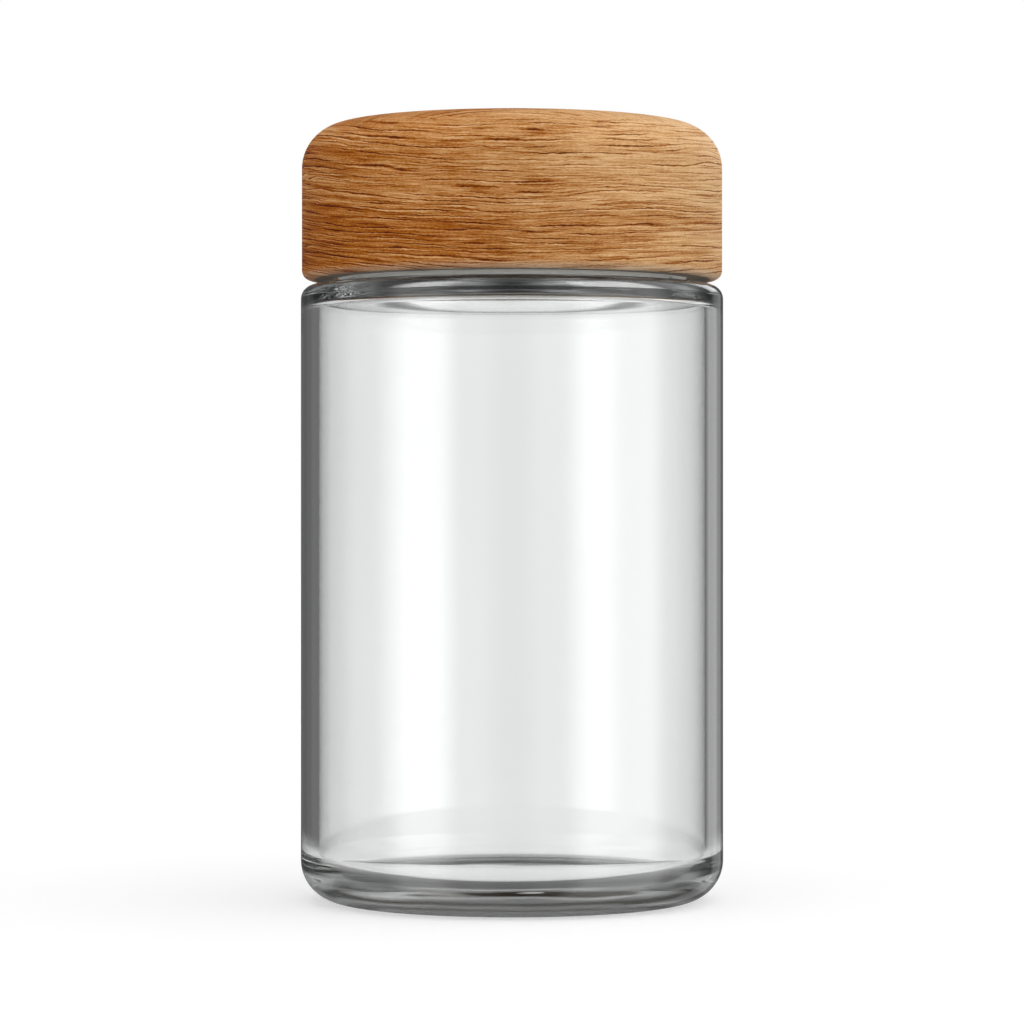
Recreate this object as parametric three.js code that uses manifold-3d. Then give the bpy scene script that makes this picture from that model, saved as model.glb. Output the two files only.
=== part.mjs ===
// Child-resistant jar: a straight-sided glass jar closed by a push-down-and-turn wooden cap.
// Millimetres, +Z up. The origin is on the table, on the jar's axis. The wood's grain runs along X.

import * as THREE from "three";
import { mergeVertices } from "three/addons/utils/BufferGeometryUtils.js";
import Module from "manifold-3d";

const wasm = await Module();
wasm.setup();

const TURN = 2 * Math.PI;
const DEGREE = Math.PI / 180;

// Facets around a turned piece, steps along each rounded edge in halves, and vertices merged closer than this.
const FACETS = 60;
const ARC_DIVISIONS = 2;
const MERGE = 1e-3;

// How deep a ridge, lug or tab is sunk into the wall that it grows from.
const ROOT_DEPTH = 0.3;

// Glass jar, heights from the table. It stands on a flat ring between the push-up and the heel.
const JAR = {
  radius: 41.5,
  wall: 3.5,
  heelRound: 8.1,
  bearingInner: 29.5,
  pushUp: 1.6,
  floorZ: 5.7,
  floorRound: 4.5,
  shoulderZ: 120.8,
  shoulderRound: 2.7,
  shoulderThickness: 3.4,
  ceilingRound: 1.65,
};

// Threaded neck above the shoulder
const NECK = {
  radius: 27.0,
  boreRadius: 24.3,
  rimZ: 133.6,
  rimRound: 1.0,
  rootRound: 0.8,
  mouthRound: 3.4,
};

// Single-start right-hand thread, six to the inch, with the same ridge on the neck and in the cap.
const THREAD = {
  pitch: 4.23,
  height: 1.2,
  rootWidth: 2.2,
  crestWidth: 0.9,
  stepsPerTurn: 48,
  runOut: 0.07,
};

// The neck's ridge ends this far below the rim, and the cap's ridge runs this far under it.
const NECK_THREAD = { turns: 1.25, topBelowRim: 2.6 };
const CAP_THREAD = { turns: 1.0, underNeckThread: 1.48 };

// Closure pieces, heights from the jar's rim
const LINER = { radius: 28.4, bottomZ: 0.1, thickness: 1.4 };

const INNER_CAP = {
  radius: 30.9,
  boreRadius: 28.8,
  bottomZ: -12.3,
  plateZ: 1.6,
  plateThickness: 1.8,
  flangeRadius: 32.0,
  flangeZ: 0.4,
  edge: 0.4,
  beadRadius: 28.3,
  beadZ: -0.7,
  beadHalfHeight: 0.4,
};

// Twelve saw-tooth lugs on the inner cap, and twelve that hang from the drive shell between them.
const LUGS = {
  count: 12,
  innerRadius: 27.0,
  outerRadius: 31.4,
  width: 12 * DEGREE,
  rampShare: 0.5,
  steps: 4,
  height: 1.6,
  restGap: 0.25,
};

const SHELL = {
  radius: 34.5,
  boreRadius: 32.5,
  bottomZ: -11.55,
  ceilingZ: 7.2,
  topThickness: 2.0,
  edge: 0.4,
  snapBeadRadius: 31.4,
  snapBeadZ: 0.2,
  snapBeadHeight: 0.8,
  lipRadius: 31.5,
  lipHeight: 1.0,
};

// Moulded spring: a flat ring with leaf fingers that rise into pockets in the drive shell.
const SPRING = {
  fingers: 6,
  ringInner: 13.0,
  ringOuter: 18.0,
  thickness: 0.8,
  bottomZ: 3.5,
  fingerInner: 18.4,
  fingerOuter: 22.0,
  fingerSweep: 40 * DEGREE,
  fingerSteps: 12,
  tabSweep: 8 * DEGREE,
  tabSteps: 2,
  tipZ: 7.6,
};

const POCKET = {
  innerRadius: 17.6,
  outerRadius: 22.8,
  start: 24 * DEGREE,
  sweep: 20 * DEGREE,
  steps: 4,
  depth: 0.7,
};

const WOOD = {
  radius: 41.3,
  bottomZ: -11.7,
  bottomRound: 1.8,
  topZ: 20.3,
  cornerRound: 8.7,
  crownRadius: 360,
  boreRadius: 34.8,
  boreTopZ: 9.5,
};

const FINISHES = {
  glass: { color: 0xe8eeec, roughness: 0.03, metalness: 0, transparent: true, opacity: 0.35 },
  wood: { color: 0xa97547, roughness: 0.55, metalness: 0 },
  capPlastic: { color: 0xf8f5ef, roughness: 0.4, metalness: 0 },
  shellPlastic: { color: 0xf3f0ea, roughness: 0.45, metalness: 0 },
  springPlastic: { color: 0xf1efe8, roughness: 0.35, metalness: 0 },
  linerFoam: { color: 0x3b3b3d, roughness: 0.8, metalness: 0 },
};

// A profile of [radius, z] turned around Z. It runs anticlockwise, seen with the radius to the right.
function turned(profile) {
  return new THREE.LatheGeometry(profile.getPoints(ARC_DIVISIONS), FACETS).rotateX(TURN / 4);
}

// A closed solid swept around Z, whose convex section(share) lists [radius, z] corners anticlockwise.
function sweptAroundAxis(startAngle, sweep, steps, section) {
  const rings = Array.from({ length: steps + 1 }, (_, i) => {
    const angle = startAngle + (sweep * i) / steps;
    return section(i / steps).map(([r, z]) => [r * Math.cos(angle), r * Math.sin(angle), z]);
  });
  const corners = rings[0].length;
  const last = steps * corners;
  const index = [];
  for (let i = 0; i < last; i += corners) {
    for (let j = 0; j < corners; j++) {
      const a = i + j;
      const b = i + ((j + 1) % corners);
      index.push(a, a + corners, b, b, a + corners, b + corners);
    }
  }
  for (let j = 1; j + 1 < corners; j++) {
    index.push(0, j, j + 1, last, last + j + 1, last + j);
  }
  const geometry = new THREE.BufferGeometry();
  geometry.setAttribute("position", new THREE.Float32BufferAttribute(rings.flat(2), 3));
  return geometry.setIndex(index);
}

// The corners of an upright rectangular section
function rectangle(innerRadius, outerRadius, lowZ, highZ) {
  return [
    [innerRadius, lowZ],
    [outerRadius, lowZ],
    [outerRadius, highZ],
    [innerRadius, highZ],
  ];
}

function solid(geometry) {
  geometry.deleteAttribute("normal");
  geometry.deleteAttribute("uv");
  const merged = mergeVertices(geometry, MERGE);
  const vertProperties = merged.attributes.position.array;
  const triVerts = new Uint32Array(merged.index.array);
  return new wasm.Manifold(new wasm.Mesh({ numProp: 3, vertProperties, triVerts }));
}

function geometryOf(manifold) {
  const { vertProperties, triVerts } = manifold.getMesh();
  const geometry = new THREE.BufferGeometry();
  geometry.setAttribute("position", new THREE.BufferAttribute(vertProperties, 3));
  geometry.setIndex(new THREE.BufferAttribute(triVerts, 1));
  geometry.computeVertexNormals();
  return geometry;
}

function joined(base, features) {
  return features.reduce((whole, feature) => whole.add(solid(feature)), solid(base));
}

// A helical ridge that stands out from wallRadius: outwards where side is 1, inwards where it is -1.
function threadRidge(wallRadius, side, startZ, turns) {
  const steps = Math.round(turns * THREAD.stepsPerTurn);
  const section = (share) => {
    const z = startZ + THREAD.pitch * turns * share;
    const fromEnd = Math.min(share, 1 - share) * turns;
    const height = THREAD.height * Math.min(1, fromEnd / THREAD.runOut);
    const root = wallRadius - side * ROOT_DEPTH;
    const crest = wallRadius + side * height;
    const corners = [
      [root, z - THREAD.rootWidth / 2],
      [crest, z - THREAD.crestWidth / 2],
      [crest, z + THREAD.crestWidth / 2],
      [root, z + THREAD.rootWidth / 2],
    ];
    return side > 0 ? corners : corners.reverse();
  };
  return sweptAroundAxis(0, turns * TURN, steps, section);
}

// A ring of saw-tooth lugs centred on offset. Each rises from baseZ to tipZ along its ramp and ends in an
// upright face, which lies on the side that the ring pushes with, or is pushed on, as the cap is closed.
function lugRing(baseZ, tipZ, offset, ramp) {
  const rootZ = baseZ - Math.sign(tipZ - baseZ) * ROOT_DEPTH;
  return Array.from({ length: LUGS.count }, (_, i) => {
    const middle = offset + (i * TURN) / LUGS.count;
    const section = (share) => {
      const fromRampEnd = ramp === "leading" ? share : 1 - share;
      const faceZ = THREE.MathUtils.lerp(baseZ, tipZ, Math.min(1, fromRampEnd / LUGS.rampShare));
      return rectangle(
        LUGS.innerRadius,
        LUGS.outerRadius,
        Math.min(rootZ, faceZ),
        Math.max(rootZ, faceZ),
      );
    };
    return sweptAroundAxis(middle - LUGS.width / 2, LUGS.width, LUGS.steps, section);
  });
}

function jarBody() {
  const { radius, heelRound, floorRound, floorZ, pushUp, bearingInner, shoulderRound, ceilingRound } = JAR;
  const inner = radius - JAR.wall;
  const ceilingZ = JAR.shoulderZ - JAR.shoulderThickness;
  const pushUpRadius = (bearingInner ** 2 + pushUp ** 2) / (2 * pushUp);
  const pushUpCentre = pushUp - pushUpRadius;
  const { rimZ, rimRound, rootRound, mouthRound, boreRadius } = NECK;

  const profile = new THREE.Path();
  profile.moveTo(0, pushUp);
  profile.absarc(0, pushUpCentre, pushUpRadius, TURN / 4, Math.atan2(-pushUpCentre, bearingInner), true);
  profile.absarc(radius - heelRound, heelRound, heelRound, -TURN / 4, 0, false);
  profile.absarc(radius - shoulderRound, JAR.shoulderZ - shoulderRound, shoulderRound, 0, TURN / 4, false);
  profile.absarc(NECK.radius + rootRound, JAR.shoulderZ + rootRound, rootRound, -TURN / 4, -TURN / 2, true);
  profile.absarc(NECK.radius - rimRound, rimZ - rimRound, rimRound, 0, TURN / 4, false);
  profile.absarc(boreRadius + rimRound, rimZ - rimRound, rimRound, TURN / 4, TURN / 2, false);
  profile.absarc(boreRadius + mouthRound, ceilingZ + mouthRound, mouthRound, TURN / 2, (3 * TURN) / 4, false);
  profile.absarc(inner - ceilingRound, ceilingZ - ceilingRound, ceilingRound, TURN / 4, 0, true);
  profile.absarc(inner - floorRound, floorZ + floorRound, floorRound, 0, -TURN / 4, true);
  profile.lineTo(0, floorZ);

  const threadStart = rimZ - NECK_THREAD.topBelowRim - NECK_THREAD.turns * THREAD.pitch;
  const ridge = threadRidge(NECK.radius, 1, threadStart, NECK_THREAD.turns);
  return geometryOf(joined(turned(profile), [ridge]));
}

function sealLiner() {
  const profile = new THREE.Path();
  const topZ = LINER.bottomZ + LINER.thickness;
  profile.moveTo(0, LINER.bottomZ);
  profile.lineTo(LINER.radius, LINER.bottomZ);
  profile.lineTo(LINER.radius, topZ);
  profile.lineTo(0, topZ);
  return turned(profile);
}

function innerCap() {
  const { radius, boreRadius, bottomZ, plateZ, flangeRadius, flangeZ, edge, beadRadius } = INNER_CAP;
  const { beadZ, beadHalfHeight } = INNER_CAP;
  const topZ = plateZ + INNER_CAP.plateThickness;
  const profile = new THREE.Path();
  profile.moveTo(0, plateZ);
  profile.lineTo(boreRadius, plateZ);
  // the small bead that keeps the liner in
  profile.lineTo(boreRadius, beadZ + beadHalfHeight);
  profile.lineTo(beadRadius, beadZ);
  profile.lineTo(boreRadius, beadZ - beadHalfHeight);
  profile.lineTo(boreRadius, bottomZ + edge);
  profile.lineTo(boreRadius + edge, bottomZ);
  profile.lineTo(radius - edge, bottomZ);
  profile.lineTo(radius, bottomZ + edge);
  profile.lineTo(radius, flangeZ);
  profile.lineTo(flangeRadius, flangeZ);
  profile.lineTo(flangeRadius, topZ - edge);
  profile.lineTo(flangeRadius - edge, topZ);
  profile.lineTo(0, topZ);

  const neckThreadStart = -NECK_THREAD.topBelowRim - NECK_THREAD.turns * THREAD.pitch;
  const ridge = threadRidge(
    boreRadius,
    -1,
    neckThreadStart - CAP_THREAD.underNeckThread,
    CAP_THREAD.turns,
  );
  const lugs = lugRing(topZ, topZ + LUGS.height, 0, "leading");
  return geometryOf(joined(turned(profile), [ridge, ...lugs]));
}

function springDisc() {
  const { bottomZ, thickness, ringInner, ringOuter, fingerInner, fingerOuter } = SPRING;
  const topZ = bottomZ + thickness;
  const profile = new THREE.Path();
  profile.moveTo(ringInner, bottomZ);
  profile.lineTo(ringOuter, bottomZ);
  profile.lineTo(ringOuter, topZ);
  profile.lineTo(ringInner, topZ);
  profile.lineTo(ringInner, bottomZ);

  const rise = SPRING.tipZ - topZ;
  const finger = (share) => {
    const lift = rise * THREE.MathUtils.smoothstep(share, 0, 1);
    return rectangle(fingerInner, fingerOuter, bottomZ + lift, topZ + lift);
  };
  const tab = () => rectangle(ringOuter - ROOT_DEPTH, fingerOuter, bottomZ, topZ);
  const features = [];
  for (let i = 0; i < SPRING.fingers; i++) {
    const start = (i * TURN) / SPRING.fingers;
    features.push(sweptAroundAxis(start - SPRING.tabSweep / 2, SPRING.tabSweep, SPRING.tabSteps, tab));
    features.push(sweptAroundAxis(start, SPRING.fingerSweep, SPRING.fingerSteps, finger));
  }
  return geometryOf(joined(turned(profile), features));
}

function driveShell() {
  const { radius, boreRadius, bottomZ, ceilingZ, edge, snapBeadRadius, snapBeadZ, snapBeadHeight } = SHELL;
  const { lipRadius, lipHeight } = SHELL;
  const topZ = ceilingZ + SHELL.topThickness;
  const beadDepth = boreRadius - snapBeadRadius;
  const lipZ = bottomZ + lipHeight;
  const profile = new THREE.Path();
  profile.moveTo(0, ceilingZ);
  profile.lineTo(boreRadius, ceilingZ);
  // the snap bead: a square ledge under the inner cap's flange, with a lead-in below
  profile.lineTo(boreRadius, snapBeadZ);
  profile.lineTo(snapBeadRadius, snapBeadZ);
  profile.lineTo(snapBeadRadius, snapBeadZ - snapBeadHeight);
  profile.lineTo(boreRadius, snapBeadZ - snapBeadHeight - beadDepth);
  // the lip that closes the gap round the inner cap's skirt
  profile.lineTo(boreRadius, lipZ + boreRadius - lipRadius);
  profile.lineTo(lipRadius, lipZ);
  profile.lineTo(lipRadius, bottomZ + edge);
  profile.lineTo(lipRadius + edge, bottomZ);
  profile.lineTo(radius - edge, bottomZ);
  profile.lineTo(radius, bottomZ + edge);
  profile.lineTo(radius, topZ - edge);
  profile.lineTo(radius - edge, topZ);
  profile.lineTo(0, topZ);

  const capLugTop = INNER_CAP.plateZ + INNER_CAP.plateThickness + LUGS.height;
  const lugs = lugRing(ceilingZ, capLugTop + LUGS.restGap, TURN / LUGS.count / 2, "trailing");
  const pocket = () =>
    rectangle(POCKET.innerRadius, POCKET.outerRadius, ceilingZ - ROOT_DEPTH, ceilingZ + POCKET.depth);
  let shell = joined(turned(profile), lugs);
  for (let i = 0; i < SPRING.fingers; i++) {
    const start = (i * TURN) / SPRING.fingers + POCKET.start;
    shell = shell.subtract(solid(sweptAroundAxis(start, POCKET.sweep, POCKET.steps, pocket)));
  }
  return geometryOf(shell);
}

function woodCap() {
  const { radius, bottomZ, bottomRound, topZ, cornerRound, crownRadius, boreRadius, boreTopZ } = WOOD;
  // the top edge's arc touches the side and the crown's arc
  const crownCentre = topZ - crownRadius;
  const cornerCentre = radius - cornerRound;
  const cornerZ = crownCentre + Math.sqrt((crownRadius - cornerRound) ** 2 - cornerCentre ** 2);
  const crownAngle = Math.atan2(cornerZ - crownCentre, cornerCentre);
  const profile = new THREE.Path();
  profile.moveTo(0, boreTopZ);
  profile.lineTo(boreRadius, boreTopZ);
  profile.lineTo(boreRadius, bottomZ);
  profile.absarc(radius - bottomRound, bottomZ + bottomRound, bottomRound, -TURN / 4, 0, false);
  profile.absarc(cornerCentre, cornerZ, cornerRound, 0, crownAngle, false);
  profile.absarc(0, crownCentre, crownRadius, crownAngle, TURN / 4, false);
  return turned(profile);
}

function piece(name, geometry, finish) {
  const mesh = new THREE.Mesh(geometry, new THREE.MeshStandardMaterial(finish));
  mesh.name = name;
  return mesh;
}

const closure = new THREE.Group();
closure.position.z = NECK.rimZ;
closure.add(
  piece("seal_liner", sealLiner(), FINISHES.linerFoam),
  piece("inner_cap", innerCap(), FINISHES.capPlastic),
  piece("spring_disc", springDisc(), FINISHES.springPlastic),
  piece("drive_shell", driveShell(), FINISHES.shellPlastic),
  piece("wood_cap", woodCap(), FINISHES.wood),
);

const childResistantJar = new THREE.Group();
childResistantJar.add(piece("jar_body", jarBody(), FINISHES.glass), closure);

export default childResistantJar;
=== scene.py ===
"""Looks of a child-resistant jar: clear glass, a push-and-turn wooden cap, and the closure inside it."""

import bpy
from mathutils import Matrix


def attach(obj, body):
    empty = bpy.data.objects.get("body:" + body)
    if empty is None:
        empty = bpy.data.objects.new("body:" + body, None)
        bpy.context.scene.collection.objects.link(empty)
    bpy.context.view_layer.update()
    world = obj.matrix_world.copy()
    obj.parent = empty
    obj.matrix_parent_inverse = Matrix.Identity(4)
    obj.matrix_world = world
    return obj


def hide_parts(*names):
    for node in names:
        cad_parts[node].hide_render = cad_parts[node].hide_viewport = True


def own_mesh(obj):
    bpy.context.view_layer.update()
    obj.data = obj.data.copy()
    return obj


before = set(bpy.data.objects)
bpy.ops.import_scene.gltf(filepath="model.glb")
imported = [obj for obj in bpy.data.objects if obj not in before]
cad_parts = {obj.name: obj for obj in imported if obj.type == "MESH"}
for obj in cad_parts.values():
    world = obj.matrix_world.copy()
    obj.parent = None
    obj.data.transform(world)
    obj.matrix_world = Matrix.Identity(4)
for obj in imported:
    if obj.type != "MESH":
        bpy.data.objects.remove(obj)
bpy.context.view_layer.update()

import logging
from collections.abc import Callable
from dataclasses import dataclass, field
from enum import Enum
from math import atan2, cos, degrees, hypot, pi, radians, sin, sqrt
from typing import Any

import bpy
from mathutils import Vector

LOG = logging.getLogger("jar")

# Outlines are drawn in millimetres, and meshes are in metres.
MM = 0.001
FULL_TURN = 2 * pi

# Faces around every turned piece, and vertices merged closer than this, in metres.
COLUMNS = 240
COLUMN_DEGREES = 360 / COLUMNS
TOUCH = 2e-6

# Faces and vertices are found by their place to within this, in millimetres.
NEAR = 0.01

# A face looks along a direction where over FACING of its normal does, and across it where under ACROSS.
FACING = 0.9
ACROSS = 0.1

# Rounding of the moulded pieces' edges, in millimetres.
MOULD_ROUND = 0.14

# Height of the jar's rim above the table. The closure's heights are given from it.
RIM = 133.6

# The thread, six to the inch: its pitch, its turns on the neck, how far its end is below the rim, the
# height that it starts from, and how far below that the inner closure's thread starts.
PITCH = 4.23
NECK_TURNS = 1.25
THREAD_END = 2.6
NECK_THREAD = RIM - THREAD_END - NECK_TURNS * PITCH
THREAD_DROP = 1.48

# Three numbers along X, Y and Z, and a linear colour with its alpha.
Triple = tuple[float, float, float]
Colour = tuple[float, float, float, float]
WHITE: Colour = (1.0, 1.0, 1.0, 1.0)


def srgb(red: int, green: int, blue: int) -> Colour:
    """A screen colour as the linear colour that shaders use.

    Args:
        red: Red from 0 to 255.
        green: Green from 0 to 255.
        blue: Blue from 0 to 255.

    Returns:
        The linear colour with full alpha.
    """

    def linear(value: int) -> float:
        """One channel made linear."""
        share = value / 255
        return share / 12.92 if share <= 0.04045 else ((share + 0.055) / 1.055) ** 2.4

    return (linear(red), linear(green), linear(blue), 1.0)


def smooth(share: float) -> float:
    """A share from 0 to 1, eased at both ends."""
    held = min(1.0, max(0.0, share))
    return held * held * (3 - 2 * held)


def radius_of(point: Vector) -> float:
    """Distance from the jar's axis, in millimetres."""
    return hypot(point.x, point.y) / MM


def angle_of(point: Vector) -> float:
    """Angle round the jar's axis, in degrees from 0 to 360."""
    return degrees(atan2(point.y, point.x)) % 360


def off_centre(angle: float, centre: float, spacing: float) -> float:
    """How far an angle is past the nearest of many evenly spaced centres.

    Args:
        angle: The angle, in degrees.
        centre: Any one of the centres.
        spacing: Degrees from one centre to the next.

    Returns:
        Degrees past the nearest centre, negative before it.
    """
    return (angle - centre + spacing / 2) % spacing - spacing / 2


class Value:
    """A number or colour that runs through a shader graph, which Python's operators work on."""

    def __init__(self, graph: "Graph", socket: bpy.types.NodeSocket) -> None:
        """Keeps an output socket and the graph that it is in."""
        self.graph = graph
        self.socket = socket

    def math(self, operation: str, *operands: "Value | float") -> "Value":
        """Adds a Math node.

        Args:
            operation: The Math node's operation.
            operands: Its values, in order.

        Returns:
            The node's result.
        """
        return self.graph.node("ShaderNodeMath", {"operation": operation}, dict(enumerate(operands)))

    def __add__(self, other: "Value | float") -> "Value":
        """This value plus another."""
        return self.math("ADD", self, other)

    def __radd__(self, other: float) -> "Value":
        """A number plus this value."""
        return self.math("ADD", other, self)

    def __sub__(self, other: "Value | float") -> "Value":
        """This value less another."""
        return self.math("SUBTRACT", self, other)

    def __rsub__(self, other: float) -> "Value":
        """A number less this value."""
        return self.math("SUBTRACT", other, self)

    def __mul__(self, other: "Value | float") -> "Value":
        """This value times another."""
        return self.math("MULTIPLY", self, other)

    def __rmul__(self, other: float) -> "Value":
        """A number times this value."""
        return self.math("MULTIPLY", other, self)

    def __pow__(self, other: float) -> "Value":
        """This value to a power."""
        return self.math("POWER", self, other)

    def __abs__(self) -> "Value":
        """This value without its sign."""
        return self.math("ABSOLUTE", self)

    def largest(self, other: "Value | float") -> "Value":
        """The larger of this value and another."""
        return self.math("MAXIMUM", self, other)

    def fraction(self) -> "Value":
        """What is left of this value past a whole number."""
        return self.math("FRACT", self)

    def above(self, limit: float) -> "Value":
        """1 where this value is over a limit, else 0."""
        return self.math("GREATER_THAN", self, limit)

    def at_least(self, count: int) -> "Value":
        """1 where this value, a whole number, is a count or more, else 0."""
        return self.above(count - 0.5)

    def step(self, low: float, high: float) -> "Value":
        """This value eased from 0 at low to 1 at high.

        Args:
            low: The value that gives 0.
            high: The value that gives 1.

        Returns:
            The eased share.
        """
        sockets = {"Value": self, "From Min": low, "From Max": high}
        return self.graph.node("ShaderNodeMapRange", {"interpolation_type": "SMOOTHSTEP"}, sockets)


class Graph:
    """A node tree that is built from values and links."""

    def __init__(self, tree: bpy.types.NodeTree) -> None:
        """Empties a tree, to build it anew."""
        self.tree = tree
        tree.nodes.clear()

    def node(
        self, kind: str, settings: dict[str, Any], sockets: dict[int | str, Any], output: int | str = 0
    ) -> Value:
        """Adds a node.

        Args:
            kind: The node's type.
            settings: The node's own settings, and the stops of a ramp.
            sockets: A value or link for each input that needs one.
            output: The output that is wanted.

        Returns:
            That output.
        """
        made = self.tree.nodes.new(kind)
        for name, setting in settings.items():
            if name == "stops":
                self._set_stops(made.color_ramp, setting)
            else:
                setattr(made, name, setting)
        for key, given in sockets.items():
            if isinstance(given, Value):
                self.tree.links.new(given.socket, made.inputs[key])
            else:
                made.inputs[key].default_value = given
        return Value(self, made.outputs[output] if made.outputs else None)

    @staticmethod
    def _set_stops(ramp: bpy.types.ColorRamp, stops: list[tuple[float, Colour]]) -> None:
        """Gives a ramp its colours and their places.

        Args:
            ramp: The ramp.
            stops: The place and colour of each stop.
        """
        while len(ramp.elements) < len(stops):
            ramp.elements.new(1.0)
        for element, (place, colour) in zip(ramp.elements, stops):
            element.position = place
            element.color = colour

    def place(self) -> Value:
        """The place on the piece, in metres."""
        return self.node("ShaderNodeTexCoord", {}, {}, "Object")

    def parts(self, vector: Value) -> tuple[Value, Value, Value]:
        """The X, Y and Z of a vector."""
        split = self.node("ShaderNodeSeparateXYZ", {}, {0: vector}).socket.node
        return tuple(Value(self, output) for output in split.outputs)

    def vector(self, x: Value | float, y: Value | float, z: Value | float) -> Value:
        """A vector from its X, Y and Z."""
        return self.node("ShaderNodeCombineXYZ", {}, {0: x, 1: y, 2: z})

    def ray(self, kind: str) -> Value:
        """What the light path says of the ray that arrives."""
        return self.node("ShaderNodeLightPath", {}, {}, kind)

    def noise(self, place: Value, rates: Triple, detail: float, rough: float = 0.5) -> Value:
        """Soft noise from 0 to 1.

        Args:
            place: Where it is read.
            rates: Cycles to the metre along X, Y and Z.
            detail: How many finer layers are added.
            rough: How strong the finer layers are.

        Returns:
            The noise.
        """
        scaled = self.node("ShaderNodeVectorMath", {"operation": "MULTIPLY"}, {0: place, 1: rates})
        sockets = {"Vector": scaled, "Scale": 1.0, "Detail": detail, "Roughness": rough}
        return self.node("ShaderNodeTexNoise", {}, sockets, "Fac")

    def mix(self, share: Value | float, low: Value | Colour, high: Value | Colour) -> Value:
        """A colour between two others.

        Args:
            share: 0 gives the first colour, and 1 the second.
            low: The first colour.
            high: The second colour.

        Returns:
            The colour between.
        """
        return self.node("ShaderNodeMix", {"data_type": "RGBA"}, {0: share, 6: low, 7: high}, 2)

    def bump(self, height: Value, strength: float, depth: float) -> Value:
        """A surface normal that follows small heights.

        Args:
            height: The height, from about 0 to 1.
            strength: How much of it is felt.
            depth: What a height of 1 stands for, in metres.

        Returns:
            The normal.
        """
        return self.node("ShaderNodeBump", {}, {"Height": height, "Strength": strength, "Distance": depth})


def from_axis(x: Value, y: Value) -> Value:
    """Distance from the jar's axis, in metres."""
    return (x * x + y * y) ** 0.5


class Finish:
    """What a piece is dressed in: one Principled shader."""

    name: str

    def dress(self, graph: Graph) -> dict[str, Any]:
        """Builds the nodes of the surface.

        Args:
            graph: The material's graph.

        Returns:
            A value or link for each of the shader's sockets that needs one.
        """
        raise NotImplementedError

    def fill(self, graph: Graph) -> Value | None:
        """Builds what fills a clear piece. Other pieces have nothing inside."""
        return None

    def material(self) -> bpy.types.Material:
        """Makes the finish's material.

        Returns:
            The material.
        """
        material = bpy.data.materials.new(self.name)
        material.use_nodes = True
        graph = Graph(material.node_tree)
        sockets = {"Surface": graph.node("ShaderNodeBsdfPrincipled", {}, self.dress(graph))}
        filling = self.fill(graph)
        if filling is not None:
            sockets["Volume"] = filling
        graph.node("ShaderNodeOutputMaterial", {}, sockets)
        return material


@dataclass(frozen=True)
class ClearGlass(Finish):
    """Fire-polished clear glass, slightly grey in its depth, darker towards its outline partly as painted
    shade, and stippled underneath. Sizes are in metres.
    """

    name: str = "clear_glass"
    clear: Colour = (0.957, 0.961, 0.96, 1.0)
    clouded: Colour = (0.945, 0.95, 0.948, 1.0)
    # Darker towards the outline: partly the glass's grey over its longer path, partly painted shade for what
    # the wall's edges show.
    edge: Colour = (0.8, 0.805, 0.805, 1.0)
    edge_shade_start: float = 0.3
    edge_shade_full: float = 0.62
    refraction: float = 1.52
    depth_colour: Colour = (0.5, 0.53, 0.52, 1.0)
    depth_density: float = 11.0
    cloud_rates: Triple = (30, 30, 22)
    cloud_from: float = 0.35
    cloud_full: float = 0.65
    flow_rates: Triple = (38, 38, 300)
    flow_depth: float = 0.00024
    flow_fade: float = 0.003
    base_top: float = 0.0078
    shoulder_foot: float = 0.1165
    stipple: float = 0.18
    stipple_radius: float = 0.0335
    stipple_top: float = 0.0022
    stipple_fade: float = 0.001

    def dress(self, graph: Graph) -> dict[str, Any]:
        """Builds the faint clouding of the faces, flow marks in the base and shoulder, the stipple, and
        painted shade towards the outline.

        Args:
            graph: The material's graph.

        Returns:
            The shader's sockets.
        """
        place = graph.place()
        x, y, height = graph.parts(place)
        cloud = graph.noise(place, self.cloud_rates, detail=2)
        flow = graph.noise(place, self.flow_rates, detail=1)
        base = 1 - height.step(self.base_top - self.flow_fade, self.base_top)
        marked = base + height.step(self.shoulder_foot, self.shoulder_foot + self.flow_fade)
        within = 1 - from_axis(x, y).step(self.stipple_radius - self.stipple_fade, self.stipple_radius)
        stippled = within * (1 - height.step(self.stipple_top - self.stipple_fade / 2, self.stipple_top))
        # Painted shade, in part: the colour darkens towards the outline.
        facing = graph.node("ShaderNodeLayerWeight", {}, {"Blend": 0.5}, "Facing")
        face = graph.mix(cloud.step(self.cloud_from, self.cloud_full), self.clear, self.clouded)
        return {
            "Normal": graph.bump(flow * marked, strength=1.0, depth=self.flow_depth),
            "Base Color": graph.mix(facing.step(self.edge_shade_start, self.edge_shade_full), face, self.edge),
            "Roughness": self.stipple * stippled,
            "IOR": self.refraction,
            "Transmission Weight": 1.0,
        }

    def fill(self, graph: Graph) -> Value:
        """Builds the grey of the glass's depth."""
        sockets = {"Color": self.depth_colour, "Density": self.depth_density}
        return graph.node("ShaderNodeVolumeAbsorption", {}, sockets)


@dataclass(frozen=True)
class Wander:
    """Slow noise that moves the grain: cycles to the metre, finer layers and how far it moves, in metres."""

    rates: Triple
    detail: float
    reach: float
    rough: float = 0.5


@dataclass(frozen=True)
class Streaks:
    """Noise drawn out along the grain: cycles to the metre, finer layers, and shares of tone and relief."""

    along: float
    across: float
    detail: float
    rough: float = 0.5
    tone: float = 0.0
    relief: float = 0.0


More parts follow.
